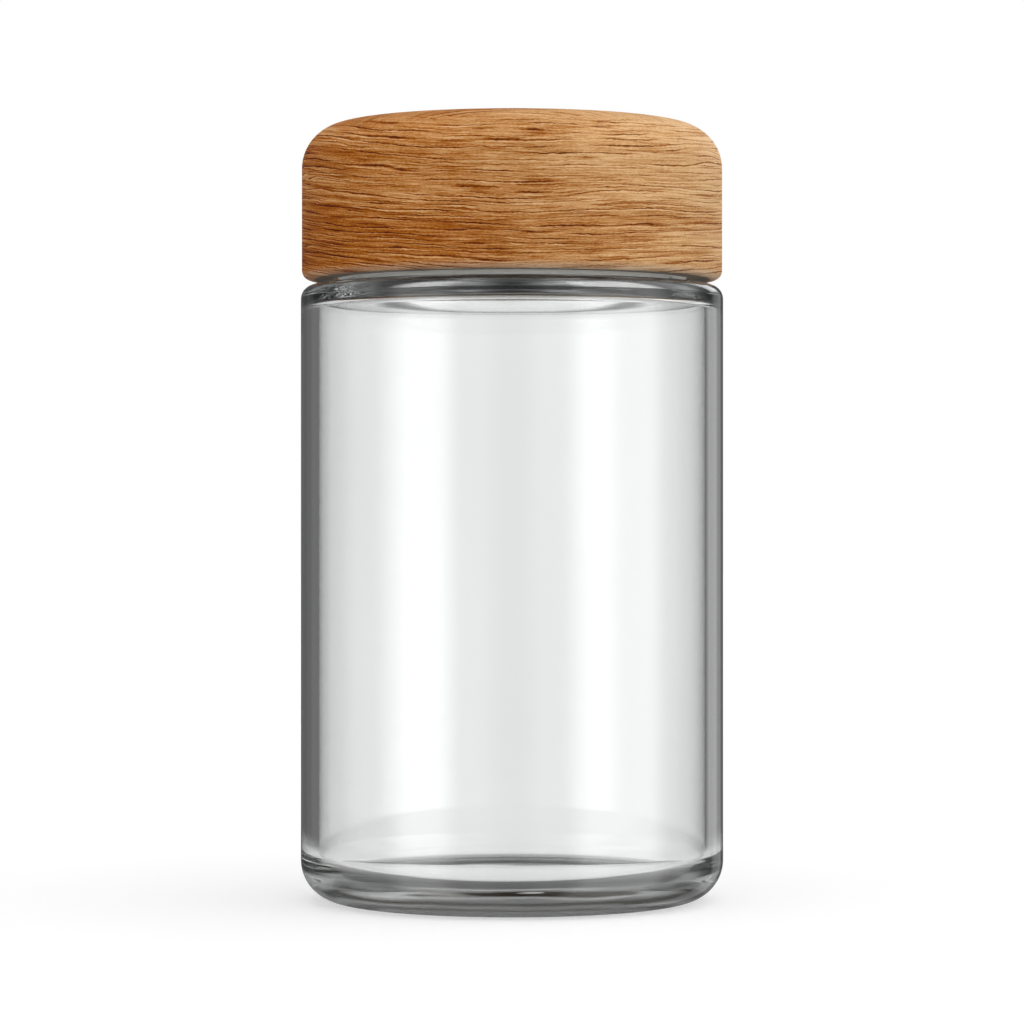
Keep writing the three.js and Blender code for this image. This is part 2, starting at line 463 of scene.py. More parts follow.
@dataclass(frozen=True)
class TurnedWood(Finish):
    """Oiled open-grained wood with its grain along X, painted light and highlights in its colour, and a dull
    sealing coat underneath darkened as painted shade. Sizes are in metres.
    """

    name: str = "turned_wood"
    shades: tuple[tuple[float, Colour], ...] = (
        (0.0, srgb(80, 32, 4)),
        (0.1, srgb(104, 48, 8)),
        (0.22, srgb(126, 67, 20)),
        (0.38, srgb(153, 94, 42)),
        (0.5, srgb(173, 117, 64)),
        (0.64, srgb(192, 141, 88)),
        (0.82, srgb(211, 167, 115)),
        (1.0, srgb(228, 188, 140)),
    )
    sway: Wander = Wander((18, 6, 45), detail=2, reach=0.0026)
    ripple: Wander = Wander((75, 20, 220), detail=1, reach=0.0006)
    jag: Wander = Wander((650, 90, 1500), detail=2, reach=0.0005, rough=0.6)
    swing: Wander = Wander((21, 35, 25), detail=2, reach=0.003)
    top_jag: float = 0.0003
    top_swing: float = 0.8
    top_start: float = 0.66
    top_full: float = 0.94
    dip: float = 0.083
    bend_from: float = 0.008
    slow: float = 22.0
    band: Streaks = Streaks(along=10, across=130, detail=3, rough=0.6, tone=0.7)
    fibre: Streaks = Streaks(along=48, across=700, detail=3, rough=0.6, tone=0.42, relief=0.3)
    hair: Streaks = Streaks(along=130, across=4300, detail=2, rough=0.65, tone=1.2, relief=0.4)
    pore: Streaks = Streaks(along=85, across=3900, detail=1, tone=-0.28, relief=-0.5)
    pore_from: float = 0.57
    pore_full: float = 0.64
    crack: Streaks = Streaks(along=75, across=1400, detail=1, tone=-0.55, relief=-0.8)
    crack_from: float = 0.42
    crack_full: float = 0.54
    grit_rates: Triple = (1500, 1500, 4200)
    grit_tone: float = 0.4
    lines: float = 900.0
    stray_rates: Triple = (34, 34, 240)
    stray: float = 3.0
    crack_width: float = 0.14
    # Painted highlight: a pale line just past each dark crack line, standing in for its lit edge.
    lip_highlight_past: float = 0.22
    lip_highlight_width: float = 0.16
    lip_highlight_tone: float = 0.2
    plain_tone: float = 0.675
    # Painted light: the wood's tone rises towards +X and towards the top about the middle height, and its hue
    # and saturation shift along X, as if lit from the right and above.
    painted_light_across: float = 3.6
    painted_light_up: float = 5.0
    middle: float = 0.138
    hue: float = 0.4945
    painted_light_hue: float = 0.13
    saturation: float = 1.06
    painted_light_saturation: float = -1.5
    foot: float = 0.1219
    # Painted highlight: a paler, less saturated band along the foot, standing in for light on its rounded
    # edge.
    foot_highlight_height: float = 0.0018
    foot_highlight_tone: float = 0.16
    foot_highlight_saturation: float = -0.2
    # A dull grey-brown sealing coat on the inner underside, darkened as painted shade for the gap under the
    # wood.
    sealed: float = 0.0392
    seal_and_shade: Colour = srgb(128, 114, 100)
    seal_fade: float = 0.0005
    seal_rise: float = 0.0003
    roughness: float = 0.52
    pore_dullness: float = 0.14
    fibre_dullness: float = 0.12
    gloss: float = 0.1
    relief: float = 0.0004

    def dress(self, graph: Graph) -> dict[str, Any]:
        """Builds bands, fibres, fine hairs, dark pores and thin broken lines along the grain, with painted
        light and highlights.

        Args:
            graph: The material's graph.

        Returns:
            The shader's sockets.
        """
        place = graph.place()
        x, y, z = graph.parts(place)
        normal = graph.node("ShaderNodeTexCoord", {}, {}, "Normal")
        sway, ripple, jag, swing = (
            graph.noise(place, wander.rates, wander.detail, wander.rough) - 0.5
            for wander in (self.sway, self.ripple, self.jag, self.swing)
        )
        upward = (graph.parts(normal)[2] + self.top_swing * swing).step(self.top_start, self.top_full)
        bend = (self.bend_from - x).largest(0.0)
        level = z - self.dip * y - bend * bend + self.sway.reach * sway
        level = level + self.ripple.reach * ripple + self.jag.reach * jag
        top_level = y + self.swing.reach * swing + self.top_jag * jag
        grain = graph.vector(x, top_level, level)
        stray = self.stray * graph.noise(grain, self.stray_rates, detail=1)

        def streaks(kind: Streaks) -> Value:
            """Noise drawn out along the grain, on the sides and on the top.

            Args:
                kind: Its rates and layers.

            Returns:
                The noise, from 0 to 1.
            """
            side_rates = (kind.along, min(kind.along, self.slow), kind.across)
            side = graph.noise(grain, side_rates, kind.detail, kind.rough)
            top = graph.noise(grain, (kind.along, kind.across, self.slow), kind.detail, kind.rough)
            return side + upward * (top - side)

        def lines(past: float, width: float) -> Value:
            """Thin lines at even steps, on the sides and on the top.

            Args:
                past: How far past each step, in steps.
                width: Half their width, in steps.

            Returns:
                1 on a line, else 0.
            """
            side, top = (
                1 - abs((self.lines * height + stray + past).fraction() - 0.5).step(0.0, width)
                for height in (level, top_level)
            )
            return side + upward * (top - side)

        band, fibre, hair = (streaks(kind) for kind in (self.band, self.fibre, self.hair))
        grit = graph.noise(grain, self.grit_rates, detail=1)
        pore = streaks(self.pore).step(self.pore_from, self.pore_full)
        broken = streaks(self.crack).step(self.crack_from, self.crack_full)
        crack = broken * lines(0.0, self.crack_width)
        # Painted highlight: a pale line beside each crack.
        lip_highlight = broken * lines(self.lip_highlight_past, self.lip_highlight_width)
        # Painted highlight along the foot.
        foot_highlight = 1 - z.step(self.foot, self.foot + self.foot_highlight_height)

        tone = self.plain_tone + self.band.tone * (band - 0.5) + self.fibre.tone * (fibre - 0.5)
        tone = tone + self.hair.tone * (hair - 0.5) + self.grit_tone * (grit - 0.5)
        tone = tone + self.pore.tone * pore + self.crack.tone * crack + self.lip_highlight_tone * lip_highlight
        # Painted light: lighter along the foot, towards +X and towards the top.
        tone = tone + self.foot_highlight_tone * foot_highlight + self.painted_light_across * x + self.painted_light_up * (z - self.middle)
        relief = self.fibre.relief * fibre + self.hair.relief * hair
        relief = relief + self.pore.relief * pore + self.crack.relief * crack
        ramp = graph.node("ShaderNodeValToRGB", {"stops": list(self.shades)}, {0: tone})
        # Painted light: hue and saturation shift along X, and the foot is paler.
        hue = self.hue + self.painted_light_hue * x
        depth = self.saturation + self.painted_light_saturation * x + self.foot_highlight_saturation * foot_highlight
        tint = {"Hue": hue, "Saturation": depth, "Color": ramp}
        oiled = graph.node("ShaderNodeHueSaturation", {}, tint)
        # The sealing coat underneath, darkened as painted shade.
        inside = 1 - from_axis(x, y).step(self.sealed - self.seal_fade, self.sealed)
        underneath = inside * (1 - z.step(self.foot, self.foot + self.seal_rise))
        return {
            "Base Color": graph.mix(underneath, oiled, self.seal_and_shade),
            "Roughness": self.roughness + self.pore_dullness * pore + self.fibre_dullness * (fibre - 0.5),
            "Specular IOR Level": self.gloss,
            "Normal": graph.bump(relief, strength=0.4, depth=self.relief),
        }


@dataclass(frozen=True)
class MouldedPlastic(Finish):
    """Satin moulded plastic with faint flow marks and a fine texture."""

    name: str
    pale: Colour
    deep: Colour
    roughness: float
    flow_rates: Triple = (60, 60, 160)
    pale_from: float = 0.3
    pale_full: float = 0.7
    flow_dullness: float = 0.1
    fine_rates: Triple = (2600, 2600, 2600)
    fine_dullness: float = 0.16
    fine_depth: float = 0.00012

    def dress(self, graph: Graph) -> dict[str, Any]:
        """Builds the flow marks and the texture.

        Args:
            graph: The material's graph.

        Returns:
            The shader's sockets.
        """
        place = graph.place()
        flow = graph.noise(place, self.flow_rates, detail=3, rough=0.55)
        fine = graph.noise(place, self.fine_rates, detail=2, rough=0.6)
        dullness = self.fine_dullness * (fine - 0.5) + self.flow_dullness * (flow - 0.5)
        return {
            "Base Color": graph.mix(flow.step(self.pale_from, self.pale_full), self.deep, self.pale),
            "Roughness": self.roughness + dullness,
            "Normal": graph.bump(fine, strength=0.12, depth=self.fine_depth),
        }


@dataclass(frozen=True)
class FoamSheet(Finish):
    """Dark grey foamed sheet with closed cells."""

    name: str = "liner_foam"
    pale: Colour = srgb(66, 66, 68)
    shaded: Colour = srgb(44, 44, 46)
    cell: float = 0.0007
    cell_depth: float = 0.00025
    cell_shade: float = 0.7
    cell_dullness: float = 0.12
    cloud_rates: Triple = (220, 220, 220)
    cloud_shade: float = 0.5
    shade_from: float = 0.2
    shade_full: float = 0.7
    roughness: float = 0.72

    def dress(self, graph: Graph) -> dict[str, Any]:
        """Builds the cells.

        Args:
            graph: The material's graph.

        Returns:
            The shader's sockets.
        """
        place = graph.place()
        sockets = {"Vector": place, "Scale": 1 / self.cell}
        edge = graph.node("ShaderNodeTexVoronoi", {}, sockets, "Distance")
        cloud = graph.noise(place, self.cloud_rates, detail=2)
        shade = self.cell_shade * edge + self.cloud_shade * (cloud - 0.5)
        return {
            "Base Color": graph.mix(shade.step(self.shade_from, self.shade_full), self.pale, self.shaded),
            "Roughness": self.roughness + self.cell_dullness * edge,
            "Normal": graph.bump(1 - edge, strength=0.35, depth=self.cell_depth),
        }


def deselect() -> None:
    """Leaves edit mode, with nothing selected."""
    if bpy.context.object and bpy.context.object.mode != "OBJECT":
        bpy.ops.object.mode_set(mode="OBJECT")
    bpy.ops.object.select_all(action="DESELECT")


class Profile:
    """An outline of radius and height, drawn edge by edge in the XZ plane and then turned about Z."""

    def __init__(self, name: str, radius: float, height: float, base: float = 0.0) -> None:
        """Sets the first corner down.

        Args:
            name: The piece's name.
            radius: The corner's radius.
            height: The corner's height.
            base: The height above the table that heights are given from.
        """
        deselect()
        bpy.ops.mesh.primitive_plane_add(size=MM)
        self.piece = bpy.context.active_object
        self.piece.name = name
        self.piece.data.name = name
        bpy.ops.object.mode_set(mode="EDIT")
        bpy.ops.mesh.select_all(action="SELECT")
        bpy.ops.mesh.merge(type="CENTER")
        bpy.ops.transform.translate(value=(radius * MM, 0, (height + base) * MM))
        self.base = base
        self.at = (radius, height)

    def line(self, radius: float, height: float, steps: int = 1) -> "Profile":
        """Draws a straight edge.

        Args:
            radius: Where it ends.
            height: Where it ends.
            steps: How many pieces it is in.

        Returns:
            The profile, to draw on.
        """
        stride = ((radius - self.at[0]) * MM / steps, 0, (height - self.at[1]) * MM / steps)
        for _ in range(steps):
            bpy.ops.mesh.extrude_region_move(TRANSFORM_OT_translate={"value": stride})
        self.at = (radius, height)
        return self

    def arc(self, centre_radius: float, centre_height: float, turn: float, steps: int) -> "Profile":
        """Draws an arc about a centre.

        Args:
            centre_radius: The centre's radius.
            centre_height: The centre's height.
            turn: How far it turns, in radians, anticlockwise with the radius to the right.
            steps: How many pieces it is in.

        Returns:
            The profile, to draw on.
        """
        bpy.ops.mesh.spin(
            steps=steps,
            angle=abs(turn),
            center=(centre_radius * MM, 0, (centre_height + self.base) * MM),
            axis=(0, 1 if turn > 0 else -1, 0),
        )
        across, up = self.at[0] - centre_radius, self.at[1] - centre_height
        self.at = (
            centre_radius + across * cos(turn) - up * sin(turn),
            centre_height + across * sin(turn) + up * cos(turn),
        )
        return self

    def turned(self) -> bpy.types.Object:
        """Turns the outline about Z into a closed piece.

        Returns:
            The piece.
        """
        bpy.ops.mesh.select_all(action="SELECT")
        bpy.ops.mesh.remove_doubles(threshold=TOUCH)
        bpy.ops.mesh.spin(
            steps=COLUMNS, angle=FULL_TURN, center=(0, 0, 0), axis=(0, 0, 1), use_auto_merge=True
        )
        self.piece = weld(self.piece)
        return self.piece


def weld(piece: bpy.types.Object) -> bpy.types.Object:
    """Merges vertices that touch, and turns all faces outwards.

    Args:
        piece: The piece, in edit mode.

    Returns:
        The piece, in object mode.
    """
    bpy.ops.mesh.select_all(action="SELECT")
    bpy.ops.mesh.remove_doubles(threshold=TOUCH)
    bpy.ops.mesh.normals_make_consistent(inside=False)
    bpy.ops.object.mode_set(mode="OBJECT")
    return piece


def start_choosing(kind: str) -> None:
    """Makes ready to select faces or vertices of the active piece, with none selected.

    Args:
        kind: FACE or VERT.
    """
    bpy.ops.object.mode_set(mode="EDIT")
    bpy.ops.mesh.select_mode(type=kind)
    bpy.ops.mesh.select_all(action="DESELECT")
    bpy.ops.object.mode_set(mode="OBJECT")


def choose_faces(piece: bpy.types.Object, wanted: Callable[[Vector, Vector], bool]) -> None:
    """Selects faces, and stays in edit mode.

    Args:
        piece: The active piece.
        wanted: Says, from a face's middle and normal, whether it is wanted.
    """
    start_choosing("FACE")
    for face in piece.data.polygons:
        face.select = wanted(face.center, face.normal)
    bpy.ops.object.mode_set(mode="EDIT")


def choose_vertices(piece: bpy.types.Object, wanted: Callable[[Vector], bool]) -> None:
    """Selects vertices, and stays in edit mode.

    Args:
        piece: The active piece.
        wanted: Says, from a vertex's place, whether it is wanted.
    """
    start_choosing("VERT")
    for vertex in piece.data.vertices:
        vertex.select = wanted(vertex.co)
    bpy.ops.object.mode_set(mode="EDIT")


def apply_modifier(piece: bpy.types.Object, kind: str, **settings: Any) -> None:
    """Adds a modifier and applies it.

    Args:
        piece: The piece.
        kind: The modifier's type.
        settings: The modifier's settings.
    """
    deselect()
    piece.select_set(True)
    bpy.context.view_layer.objects.active = piece
    bpy.ops.object.modifier_add(type=kind)
    modifier = piece.modifiers[-1]
    for name, setting in settings.items():
        setattr(modifier, name, setting)
    bpy.ops.object.modifier_apply(modifier=modifier.name)


def round_edges(piece: bpy.types.Object, sharpest: float = 32) -> None:
    """Rounds the sharp edges of a moulded piece and shades it smooth.

    Args:
        piece: The piece.
        sharpest: Edges that turn further than this, in degrees, are rounded.
    """
    settings = {"limit_method": "ANGLE", "angle_limit": radians(sharpest), "harden_normals": False}
    apply_modifier(piece, "BEVEL", width=MOULD_ROUND * MM, segments=2, use_clamp_overlap=True, **settings)
    bpy.ops.object.mode_set(mode="EDIT")
    weld(piece)
    shade(piece)


def shade(piece: bpy.types.Object, sharpest: float = 40) -> None:
    """Shades a piece smooth, apart from its sharp edges.

    Args:
        piece: The piece.
        sharpest: Edges that turn further than this, in degrees, stay sharp.
    """
    deselect()
    piece.select_set(True)
    bpy.context.view_layer.objects.active = piece
    bpy.ops.object.shade_smooth_by_angle(angle=radians(sharpest))


@dataclass
class Thread:
    """A single-start right-hand ridge, six to the inch, with rounded flanks."""

    start: float
    turns: float
    pitch: float = PITCH
    height: float = 1.2
    root_width: float = 2.2
    crest_width: float = 0.9
    run_out: float = 0.07

    def share(self, angle: float, height: float) -> float:
        """How much of the ridge's full height stands at a place on the wall.

        Args:
            angle: Degrees round the axis.
            height: Height above the table, in millimetres.

        Returns:
            The share, from 0 to 1.
        """
        flank = (self.root_width - self.crest_width) / 2
        found = 0.0
        for lap in range(int(self.turns) + 1):
            turned = angle / 360 + lap
            if turned > self.turns:
                break
            across = abs(height - self.start - self.pitch * turned)
            end = smooth(min(turned, self.turns - turned) / self.run_out)
            found = max(found, end * smooth((self.root_width / 2 - across) / flank))
        return found

    def raise_on(self, piece: bpy.types.Object, wall: float, low: float, high: float) -> None:
        """Raises the ridge from a wall of many thin rows.

        Args:
            piece: The piece.
            wall: The wall's radius.
            low: Lowest row above the table.
            high: Highest row above the table.
        """
        group = piece.vertex_groups.new(name="thread")
        for vertex in piece.data.vertices:
            height = vertex.co.z / MM
            if low < height < high and abs(radius_of(vertex.co) - wall) < NEAR:
                share = self.share(angle_of(vertex.co), height)
                if share > 0:
                    group.add([vertex.index], share, "REPLACE")
        settings = {"strength": self.height * MM, "mid_level": 0.0, "direction": "NORMAL"}
        apply_modifier(piece, "DISPLACE", vertex_group=group.name, **settings)
        piece.vertex_groups.remove(piece.vertex_groups["thread"])


class Ramp(Enum):
    """The side of a saw-tooth lug that slopes, going round with the angle."""

    LEADING = 1
    TRAILING = -1


@dataclass
class LugRing:
    """Twelve saw-tooth lugs that stand on a flat ring."""

    base: float
    rise: float
    centre: float
    ramp: Ramp
    count: int = 12
    inner_radius: float = 27.0
    outer_radius: float = 31.4
    width: float = 12.0

    def raise_on(self, piece: bpy.types.Object) -> None:
        """Draws the lugs out of a piece, and slopes one side of each.

        Args:
            piece: The piece, whose rows already run along the ring's two edges.
        """
        spacing = 360 / self.count
        facing = 1 if self.rise > 0 else -1

        def on_ring(middle: Vector, normal: Vector) -> bool:
            """Whether a face is the foot of a lug.

            Args:
                middle: The face's middle.
                normal: The face's normal.

            Returns:
                True for a foot.
            """
            round_it = abs(off_centre(angle_of(middle), self.centre, spacing)) < self.width / 2
            across = self.inner_radius < radius_of(middle) < self.outer_radius
            level = abs(middle.z / MM - self.base) < NEAR
            return round_it and across and level and normal.z * facing > FACING

        choose_faces(piece, on_ring)
        bpy.ops.mesh.extrude_region_move(TRANSFORM_OT_translate={"value": (0, 0, self.rise * MM)})
        columns = round(self.width / 2 / COLUMN_DEGREES)
        for column in range(columns):
            where = self.ramp.value * (column * COLUMN_DEGREES - self.width / 2)

            def on_slope(point: Vector, where: float = where) -> bool:
                """Whether a vertex is on this line across the lugs' tops.

                Args:
                    point: The vertex's place.
                    where: The line's angle from its lug's middle, in degrees.

                Returns:
                    True on the line.
                """
                past = off_centre(angle_of(point), self.centre, spacing)
                top = abs(point.z / MM - self.base - self.rise) < NEAR
                return top and abs(past - where) < COLUMN_DEGREES / 4

            choose_vertices(piece, on_slope)
            drop = self.rise * (1 - column / columns)
            bpy.ops.transform.translate(value=(0, 0, -drop * MM))
        weld(piece)


def hand_over(piece: bpy.types.Object, finish: Finish, body: str, node: str) -> None:
    """Gives a finished piece its material, and its place in the frame.

    Args:
        piece: The piece.
        finish: The finish that it takes.
        body: The body that it rides on.
        node: The part that it stands for.
    """
    piece.data.materials.clear()
    piece.data.materials.append(finish.material())
    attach(piece, body)
    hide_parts(node)
    LOG.info("%s: %d faces, rides on %s", piece.name, len(piece.data.polygons), body)


@dataclass
class GlassJar:
    """The jar: thick base, straight wall, small shoulder and threaded neck. Heights are from the table."""

    radius: float = 41.5
    wall: float = 3.5
    heel_round: float = 8.1
    bearing_inner: float = 29.5
    push_up: float = 1.6
    floor: float = 5.7
    floor_round: float = 4.5
    shoulder: float = 120.8
    shoulder_round: float = 2.7
    shoulder_thickness: float = 3.4
    ceiling_round: float = 1.65
    neck_radius: float = 27.0
    neck_bore: float = 24.3
    rim_round: float = 1.0
    root_round: float = 0.8
    mouth_round: float = 3.4
    neck_rows: int = 84
    wall_rows: int = 24
    thread: Thread = field(default_factory=lambda: Thread(NECK_THREAD, NECK_TURNS))
    finish: ClearGlass = ClearGlass()

    def outline(self) -> Profile:
        """Draws the jar's section, from the push-up round to the floor inside.

        Returns:
            The profile.
        """
        inner = self.radius - self.wall
        ceiling = self.shoulder - self.shoulder_thickness
        sphere = (self.bearing_inner**2 + self.push_up**2) / (2 * self.push_up)
        quarter = pi / 2
        pen = Profile("glass_jar", 0.0, self.push_up)
        pen.arc(0.0, self.push_up - sphere, -atan2(self.bearing_inner, sphere - self.push_up), steps=20)
        pen.line(self.radius - self.heel_round, 0.0, steps=3)
        pen.arc(self.radius - self.heel_round, self.heel_round, quarter, steps=32)
        pen.line(self.radius, self.shoulder - self.shoulder_round, steps=self.wall_rows)
        pen.arc(self.radius - self.shoulder_round, self.shoulder - self.shoulder_round, quarter, steps=16)
        pen.line(self.neck_radius + self.root_round, self.shoulder, steps=4)
        pen.arc(self.neck_radius + self.root_round, self.shoulder + self.root_round, -quarter, steps=8)
        pen.line(self.neck_radius, RIM - self.rim_round, steps=self.neck_rows)
        pen.arc(self.neck_radius - self.rim_round, RIM - self.rim_round, quarter, steps=8)
        pen.line(self.neck_bore + self.rim_round, RIM)
        pen.arc(self.neck_bore + self.rim_round, RIM - self.rim_round, quarter, steps=8)
        pen.line(self.neck_bore, ceiling + self.mouth_round, steps=4)
        pen.arc(self.neck_bore + self.mouth_round, ceiling + self.mouth_round, quarter, steps=10)
        pen.line(inner - self.ceiling_round, ceiling, steps=4)
        pen.arc(inner - self.ceiling_round, ceiling - self.ceiling_round, -quarter, steps=12)
        pen.line(inner, self.floor + self.floor_round, steps=self.wall_rows)
        pen.arc(inner - self.floor_round, self.floor + self.floor_round, -quarter, steps=20)
        pen.line(0.0, self.floor, steps=12)
        return pen

    def build(self) -> None:
        """Builds and dresses the jar."""
        piece = self.outline().turned()
        self.thread.raise_on(piece, self.neck_radius, self.shoulder + self.root_round, RIM - self.rim_round)
        shade(piece, sharpest=60)
        hand_over(piece, self.finish, "jar", "jar_body")


@dataclass
class SealLiner:
    """The foam disc that seals on the jar's rim. Heights are from the rim."""

    radius: float = 28.4
    bottom: float = 0.1
    top: float = 1.5
    edge: float = 0.25
    mark_inner: float = 24.4
    mark_outer: float = 26.9
    mark_depth: float = 0.12
    finish: FoamSheet = FoamSheet()

    def build(self) -> None:
        """Builds and dresses the liner, with the ring that the rim presses into it."""
        quarter = pi / 2
        sunk = self.bottom + self.mark_depth
        pen = Profile("foam_liner", 0.0, self.bottom, RIM)
        pen.line(self.mark_inner - self.mark_depth, self.bottom, steps=6)
        pen.line(self.mark_inner + self.mark_depth, sunk, steps=2)
        pen.line(self.mark_outer - self.mark_depth, sunk, steps=2)
        pen.line(self.mark_outer + self.mark_depth, self.bottom, steps=2)
        pen.line(self.radius - self.edge, self.bottom)
        pen.arc(self.radius - self.edge, self.bottom + self.edge, quarter, steps=4)
        pen.line(self.radius, self.top - self.edge, steps=2)
        pen.arc(self.radius - self.edge, self.top - self.edge, quarter, steps=4)
        pen.line(0.0, self.top, steps=6)
        piece = pen.turned()
        shade(piece)
        hand_over(piece, self.finish, "liner", "seal_liner")


@dataclass
class InnerCap:
    """The threaded inner closure with its lugs. Heights are from the rim."""

    radius: float = 30.9
    bore: float = 28.8
    bottom: float = -12.3
    plate: float = 1.6
    top: float = 3.4
    flange_radius: float = 32.0
    flange: float = 0.4
    edge: float = 0.4
    bead_radius: float = 28.3
    bead: float = -0.7
    bead_half: float = 0.4
    bore_rows: int = 76
    thread: Thread = field(default_factory=lambda: Thread(NECK_THREAD - THREAD_DROP, turns=1.0))
    lugs: LugRing = field(
        default_factory=lambda: LugRing(base=RIM + 3.4, rise=1.6, centre=0.0, ramp=Ramp.LEADING)
    )
    finish: MouldedPlastic = MouldedPlastic(
        "cap_plastic", pale=srgb(250, 247, 242), deep=srgb(243, 238, 230), roughness=0.3
    )

    def build(self) -> None:
        """Builds and dresses the inner closure."""
        pen = Profile("inner_closure", 0.0, self.plate, RIM)
        pen.line(self.bore, self.plate, steps=4)
        pen.line(self.bore, self.bead + self.bead_half)
        pen.line(self.bead_radius, self.bead)
        pen.line(self.bore, self.bead - self.bead_half)
        pen.line(self.bore, self.bottom + self.edge, steps=self.bore_rows)
        pen.line(self.bore + self.edge, self.bottom)
        pen.line(self.radius - self.edge, self.bottom)
        pen.line(self.radius, self.bottom + self.edge)
        pen.line(self.radius, self.flange, steps=4)
        pen.line(self.flange_radius, self.flange)
        pen.line(self.flange_radius, self.top - self.edge)
        pen.line(self.flange_radius - self.edge, self.top)
        pen.line(self.lugs.outer_radius, self.top)
        pen.line(self.lugs.inner_radius, self.top)
        pen.line(0.0, self.top, steps=4)
        piece = pen.turned()
        low, high = self.bottom + self.edge, self.bead - self.bead_half
        self.thread.raise_on(piece, self.bore, RIM + low, RIM + high)
        self.lugs.raise_on(piece)
        round_edges(piece)
        hand_over(piece, self.finish, "inner_cap", "inner_cap")


@dataclass
class SpringDisc:
    """A moulded ring with six leaf fingers that push the outer cap up. Heights are from the rim."""

    fingers: int = 6
    ring_inner: float = 13.0
    ring_outer: float = 18.0
    bottom: float = 3.5
    thickness: float = 0.8
    finger_inner: float = 18.4
    finger_outer: float = 22.0
    finger_end: float = 40.0
    tab_half: float = 4.5
    steps: int = 24
    tip: float = 7.6
    pressed: float = 0.9
    fixed: float = 3.5
    slack: float = 0.1
    finish: MouldedPlastic = MouldedPlastic(
        "spring_plastic", pale=srgb(246, 245, 240), deep=srgb(233, 231, 223), roughness=0.34
    )

    def draw_tabs(self, piece: bpy.types.Object) -> None:
        """Draws the tabs out of the ring's outer edge, in two steps.

        Args:
            piece: The plain ring.
        """
        spacing = 360 / self.fingers

        def on_edge(middle: Vector, normal: Vector) -> bool:
            """Whether a face is the foot of a tab.

            Args:
                middle: The face's middle.
                normal: The face's normal.

            Returns:
                True for a foot.
            """
            outward = normal.x * middle.x + normal.y * middle.y > 0 and abs(normal.z) < ACROSS
            beside = abs(off_centre(angle_of(middle), 0.0, spacing)) < self.tab_half
            return outward and beside and radius_of(middle) > self.ring_outer - self.slack

        choose_faces(piece, on_edge)
        reached = self.ring_outer
        for radius in (self.finger_inner, self.finger_outer):
            growth = radius / reached
            bpy.ops.mesh.extrude_region_move(TRANSFORM_OT_translate={"value": (0, 0, 0)})
            bpy.ops.transform.resize(value=(growth, growth, 1), center_override=(0, 0, 0))
            reached = radius

    def draw_fingers(self, piece: bpy.types.Object) -> None:
        """Sweeps a finger from the side of each tab, and lifts it step by step.

        Args:
            piece: The ring with its tabs.
        """
        spacing = 360 / self.fingers
        sweep = self.finger_end - self.tab_half

        def on_side(middle: Vector, normal: Vector) -> bool:
            """Whether a face is the side of a tab that a finger grows from.

            Args:
                middle: The face's middle.
                normal: The face's normal.

            Returns:
                True for such a side.
            """
            past = off_centre(angle_of(middle), 0.0, spacing)
            forward = (normal.y * middle.x - normal.x * middle.y) / MM > FACING * radius_of(middle)
            beside = abs(past - self.tab_half) < COLUMN_DEGREES / 4 and radius_of(middle) > self.finger_inner
            return beside and forward and abs(normal.z) < ACROSS

        choose_faces(piece, on_side)
        bpy.ops.mesh.spin(steps=self.steps, angle=radians(sweep), center=(0, 0, 0), axis=(0, 0, -1))
        rise = self.tip - self.bottom - self.thickness
        for step in range(1, self.steps + 1):
            where = self.tab_half + sweep * step / self.steps

            def on_line(point: Vector, where: float = where) -> bool:
                """Whether a vertex is on this line across the fingers.

                Args:
                    point: The vertex's place.
                    where: The line's angle from its tab's middle, in degrees.

                Returns:
                    True on the line.
                """
                past = off_centre(angle_of(point), where, spacing)
                outside = radius_of(point) > self.finger_inner - self.slack
                return outside and abs(past) < sweep / self.steps / 4

            choose_vertices(piece, on_line)
            bpy.ops.transform.translate(value=(0, 0, rise * smooth(step / self.steps) * MM))

    def build(self) -> None:
        """Builds and dresses the spring, with its fingers raised as at rest."""
        top = self.bottom + self.thickness
        pen = Profile("leaf_spring", self.ring_inner, self.bottom, RIM)
        pen.line(self.ring_outer, self.bottom)
        pen.line(self.ring_outer, top)
        pen.line(self.ring_inner, top)
        pen.line(self.ring_inner, self.bottom)
        piece = pen.turned()
        self.draw_tabs(piece)
        self.draw_fingers(piece)
        weld(piece)
        round_edges(piece)
        hand_over(piece, self.finish, "spring", "spring_disc")
        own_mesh(piece)


